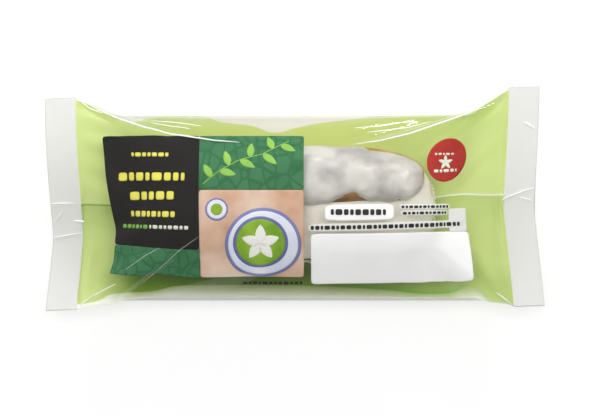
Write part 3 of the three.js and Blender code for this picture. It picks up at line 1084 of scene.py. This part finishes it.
pale = plain_ink("pale_ink", 2, "#e8ebdc", "#dfe6cf")
line(pale, (-57, -10), (-41, -10.7), 1.5, 0.6, 0.5)
line(pale, (56, 17.5), (65, 17.5), 0.9, 0.5, 0.5)
line(pale, (55.5, 10.5), (65.5, 10.5), 1.3, 0.7, 0.5)
for petal in range(5):
    pale.leaf((60.6, 14), 3.2, 1.5, 90 + 72 * petal)
pale.lay()
mid_green = plain_ink("mid_green_ink", 2, "#6da23c", "#7fb44a")
line(mid_green, (-70, -9.4), (-57.8, -10), 1.6, 0.6, 0.5)
mid_green.lay()

# One thin coat of white lets what lies under it show faintly.
thin_white, tree, output = new_material("thin_white_ink")
surface = add(tree, "ShaderNodeBsdfPrincipled", {"Base Color": linear("#f2f2ee"), "Roughness": 0.5,
    "Specular IOR Level": 0.0, "Alpha": 0.75})
tree.links.new(surface.outputs[0], output.inputs["Surface"])
halo = Ink("thin_white_ink", 2, thin_white)
halo.rounded((66, -9.3), (7.6, 9.2), 14, 1)
halo.rounded((52, -3.7), (21.5, 2.1), 8, -1)
halo.rounded((51.8, -6.1), (20, 2.0), 8, -1)
halo.rounded((37, -11.0), (62.5, 3.1), 8, 0.4)
halo.lay()

dark = plain_ink("dark_ink", 1, "#22211f", "#34332f")
line(dark, (14.5, -5), (36.5, -5.4), 2.3, 0.75, 0.6)
line(dark, (42, -3.5), (62, -3.9), 1.05, 0.5, 0.45)
line(dark, (42.5, -6), (61, -6.2), 1.05, 0.5, 0.45)
line(dark, (6.6, -11.2), (67.5, -10.8), 1.6, 0.6, 0.5)
line(dark, (-20.2, -36.2), (3.5, -36.6), 1.5, 0.6, 0.5)
dark.lay()

# %% Painted highlights on the folds
# White lines along the creases are painted highlights, where the sharp folds catch the light, drawn as milky
# white film.
FOLD_HIGHLIGHTS = [("sharp_fold_highlights", 0.8, CREASES), ("soft_fold_highlights", 0.14, SOFT_CREASES)]
OUTSIDE = -0.5               # a depth just off the film's outer face
for name, highlight_strength, creases in FOLD_HIGHLIGHTS:
    highlight_white, tree, output = new_material(name)
    surface = add(tree, "ShaderNodeBsdfPrincipled", {"Base Color": linear("#ffffff"), "Roughness": 0.25,
        "Alpha": highlight_strength})
    tree.links.new(surface.outputs[0], output.inputs["Surface"])
    fold_highlights = Ink(name, OUTSIDE, highlight_white)
    for _, _, width, line_of_places in creases:
        fold_highlights.stroke(line_of_places, width)
    fold_highlights.lay()

# %% [markdown]
# ## Seam on the back
# The two edges of the web are welded face to face along the back. The fin this leaves is folded
# down flat, from the weld towards the near side. Seen through the film from the front it is a
# second layer of green that fades away from the weld. It is a thin sheet, laid just outside the
# film and given a thickness. The weld itself is drawn in the film's print.

# %% Flap of the long seam
FLAP = {"width": 12.5, "lift": 0.2, "thick": 0.08}
flap = bmesh.new()
flap_web = flap.verts.layers.float_vector.new("web")
bmesh.ops.create_grid(flap, x_segments=200, y_segments=12, size=0.5)
for vert in flap.verts:
    u, share = vert.co.x * WEB["length"], vert.co.y + 0.5
    vert[flap_web] = (u, np.interp(u, *zip(*WELD)) + share * FLAP["width"], share)
lay_on_film(flap, flap_web, FLAP["lift"])
uv = flap.loops.layers.uv.new("web")
for face in flap.faces:
    for loop in face.loops:
        u, _, share = loop.vert[flap_web]
        loop[uv].uv = (u / WEB["length"] + 0.5, share)

# Green film lies on green film: dense at the weld, hardly seen at the free edge and on the seals.
DENSITY = {"weld": 0.5, "free_edge": 0.02, "on_seals": 0.1}
fin_film, tree, output = new_material("folded_polypropylene_fin")
u_share, flap_share = web_shares(tree)
dense = add(tree, "ShaderNodeValToRGB", {"Fac": flap_share})
for stop, density in zip(dense.color_ramp.elements, (DENSITY["weld"], DENSITY["free_edge"])):
    stop.color = (density, density, density, 1)
from_middle = add(tree, "ShaderNodeMath", {0: u_share, 1: 0.5}, operation="SUBTRACT").outputs[0]
from_middle = add(tree, "ShaderNodeMath", {0: from_middle}, operation="ABSOLUTE").outputs[0]
on_seal = add(tree, "ShaderNodeMapRange", {"Value": from_middle, "From Min": (SEAL_START - 0.5) / WEB["length"],
    "From Max": SEAL_START / WEB["length"], "To Min": 1.0, "To Max": DENSITY["on_seals"]})
seen = add(tree, "ShaderNodeMath", {0: dense.outputs[0], 1: on_seal.outputs[0]}, operation="MULTIPLY")
clear = add(tree, "ShaderNodeBsdfTransparent")
green_layer = add(tree, "ShaderNodeBsdfPrincipled", {"Base Color": linear("#a6c64c"), "Roughness": 0.35})
surface = add(tree, "ShaderNodeMixShader", {0: seen.outputs[0], 1: clear.outputs[0],
    2: green_layer.outputs[0]})
tree.links.new(surface.outputs[0], output.inputs["Surface"])
seam = finished("seam_flap", flap, fin_film)
sheet = seam.modifiers.new("fin", "SOLIDIFY")
sheet.thickness = FLAP["thick"] * MM
sheet.offset = 1

# %% Bodies: every piece joins the root body, and the imported pack is hidden
for piece in (film, seam, base, lid, cream, icing, tray, *print_pieces):
    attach(piece, "root")
    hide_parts("pack")
